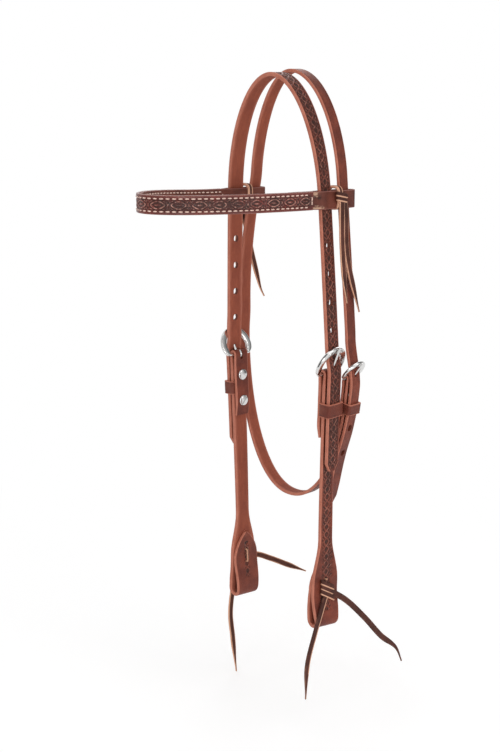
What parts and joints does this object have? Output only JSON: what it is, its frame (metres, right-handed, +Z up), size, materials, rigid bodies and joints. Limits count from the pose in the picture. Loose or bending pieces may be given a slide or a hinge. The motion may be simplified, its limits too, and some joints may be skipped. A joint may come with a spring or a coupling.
{
  "type": "western headstall",
  "caption": "Browband headstall: crown strap and throat latch over the poll, looped browband, buckled cheek straps with keepers, folded bit ends and leather ties",
  "frame": {"origin": "on the underside of the crown strap, at the poll, halfway between the cheeks", "axes": "+Z up, the horse faces -Y, and its left (near) side is +X"},
  "size_m": [0.1551, 0.272, 0.5998],
  "materials": {
    "red_leather": "oiled, semi-gloss",
    "tooled_leather": "hand tooled and antiqued, semi-gloss",
    "lining_leather": "matt flesh side",
    "tie_leather": "matt lace leather",
    "bright_metal": "polished"
  },
  "bodies": {
    "straps": {"crown_strap": "tooled_leather", "throat_latch_strap": "red_leather", "cheek_strap_left": "red_leather", "cheek_strap_right": "red_leather", "bit_tie_left": "tie_leather", "bit_tie_right": "tie_leather", "screw_post_cheek_upper_left": "bright_metal", "screw_post_cheek_lower_left": "bright_metal", "screw_post_cheek_upper_right": "bright_metal", "screw_post_cheek_lower_right": "bright_metal", "screw_post_throat_upper": "bright_metal", "screw_post_throat_lower": "bright_metal", "screw_cheek_upper_left": "bright_metal", "screw_cheek_lower_left": "bright_metal", "screw_cheek_upper_right": "bright_metal", "screw_cheek_lower_right": "bright_metal", "screw_throat_upper": "bright_metal", "screw_throat_lower": "bright_metal"},
    "browband": {"browband_face": "tooled_leather", "browband_lining": "lining_leather", "browband_tie_left": "tie_leather", "browband_tie_right": "tie_leather"},
    "frame_cheek_left": {"cheek_buckle_frame_left": "bright_metal"},
    "frame_cheek_right": {"cheek_buckle_frame_right": "bright_metal"},
    "frame_throat": {"throat_buckle_frame": "bright_metal"},
    "tongue_cheek_left": {"cheek_buckle_tongue_left": "bright_metal"},
    "tongue_cheek_right": {"cheek_buckle_tongue_right": "bright_metal"},
    "tongue_throat": {"throat_buckle_tongue": "bright_metal"},
    "keeper_cheek_left": {"cheek_keeper_left": "red_leather"},
    "keeper_cheek_right": {"cheek_keeper_right": "red_leather"},
    "keeper_throat": {"throat_keeper": "red_leather"}
  },
  "joints": [
    {"name": "browband_slide", "type": "slide", "parent": "straps", "child": "browband", "axis": [0, 0, 1], "range_m": [-0.005, 0.005]},
    {"name": "frame_cheek_left_swing", "type": "hinge", "parent": "straps", "child": "frame_cheek_left", "pos_m": [0.05806, 0.00419, -0.26058], "axis": [-0.0429, 0.9989, 0.0165], "range_deg": [0, 4]},
    {"name": "frame_cheek_right_swing", "type": "hinge", "parent": "straps", "child": "frame_cheek_right", "pos_m": [-0.05806, 0.00419, -0.26058], "axis": [-0.0429, -0.9989, -0.0165], "range_deg": [0, 4]},
    {"name": "frame_throat_swing", "type": "hinge", "parent": "straps", "child": "frame_throat", "pos_m": [0.06522, 0.02586, -0.26706], "axis": [-0.0523, 0.9986, 0.0006], "range_deg": [0, 4]},
    {"name": "tongue_cheek_left_swing", "type": "hinge", "parent": "frame_cheek_left", "child": "tongue_cheek_left", "pos_m": [0.05806, 0.00419, -0.26058], "axis": [-0.0429, 0.9989, 0.0165], "range_deg": [0, 4]},
    {"name": "tongue_cheek_right_swing", "type": "hinge", "parent": "frame_cheek_right", "child": "tongue_cheek_right", "pos_m": [-0.05806, 0.00419, -0.26058], "axis": [-0.0429, -0.9989, -0.0165], "range_deg": [0, 4]},
    {"name": "tongue_throat_swing", "type": "hinge", "parent": "frame_throat", "child": "tongue_throat", "pos_m": [0.06522, 0.02586, -0.26706], "axis": [-0.0523, 0.9986, 0.0006], "range_deg": [0, 4]},
    {"name": "keeper_cheek_left_slide", "type": "slide", "parent": "straps", "child": "keeper_cheek_left", "axis": [0.0391, -0.0145, 0.9991], "range_m": [-0.003, 0.003]},
    {"name": "keeper_cheek_right_slide", "type": "slide", "parent": "straps", "child": "keeper_cheek_right", "axis": [-0.0391, -0.0145, 0.9991], "range_m": [-0.003, 0.003]},
    {"name": "keeper_throat_slide", "type": "slide", "parent": "straps", "child": "keeper_throat", "axis": [0.148, 0.0109, 0.9889], "range_m": [-0.003, 0.003]}
  ]
}
